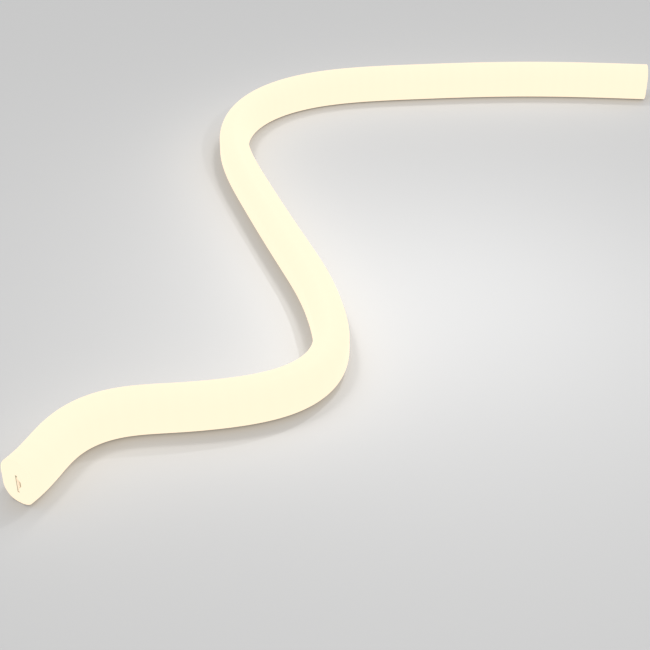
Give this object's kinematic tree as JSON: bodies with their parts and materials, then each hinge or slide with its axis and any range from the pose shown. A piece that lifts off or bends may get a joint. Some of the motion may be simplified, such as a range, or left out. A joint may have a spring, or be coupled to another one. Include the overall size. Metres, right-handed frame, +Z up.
{
  "type": "led neon flex",
  "caption": "Flexible silicone light line, cut square at both ends, with a circuit strip on edge in a pocket along its middle.",
  "frame": {"origin": "on the floor under the middle of the box that holds the whole bent length", "axes": "+Z up from the flat foot, +Y along the longer side of the box, away from the picture's camera, +X to the picture's right"},
  "size_m": [0.3633, 0.4409, 0.024],
  "materials": {
    "silicone": "satin milky silicone, lit warm white",
    "circuit_strip": "white solder resist on a flexible board"
  },
  "bodies": {
    "root": {"silicone_body": "silicone", "circuit_strip": "circuit_strip"}
  },
  "joints": []
}
